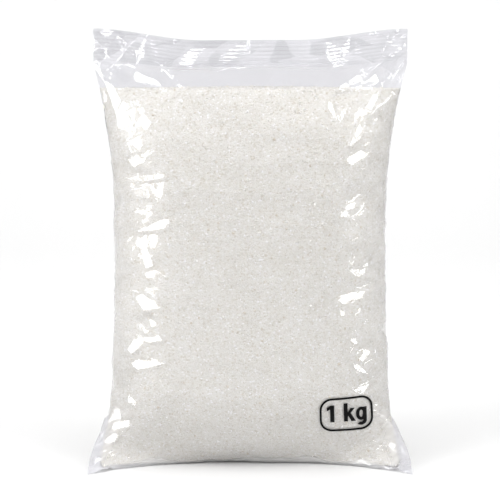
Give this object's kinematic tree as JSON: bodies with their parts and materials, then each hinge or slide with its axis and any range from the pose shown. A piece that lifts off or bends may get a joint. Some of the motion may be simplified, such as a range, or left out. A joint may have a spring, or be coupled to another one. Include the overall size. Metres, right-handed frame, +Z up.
{
  "type": "bag of sugar",
  "caption": "Clear pillow bag of white granulated sugar standing on its base, with a flat crimped top seal, spread bottom corners and a level sugar line.",
  "frame": {"origin": "middle of the bag's box on the floor it stands on", "axes": "+Z up, -Y to the front of the bag, +X to the right seen from the front"},
  "size_m": [0.1692, 0.0636, 0.23],
  "materials": {
    "bag": "white sugar seen through glossy clear film",
    "film": "thin clear glossy film",
    "sugar": "fine white crystals with small sparkles",
    "print": "black ink on the film"
  },
  "bodies": {
    "root": {"bag": "bag"}
  },
  "joints": []
}
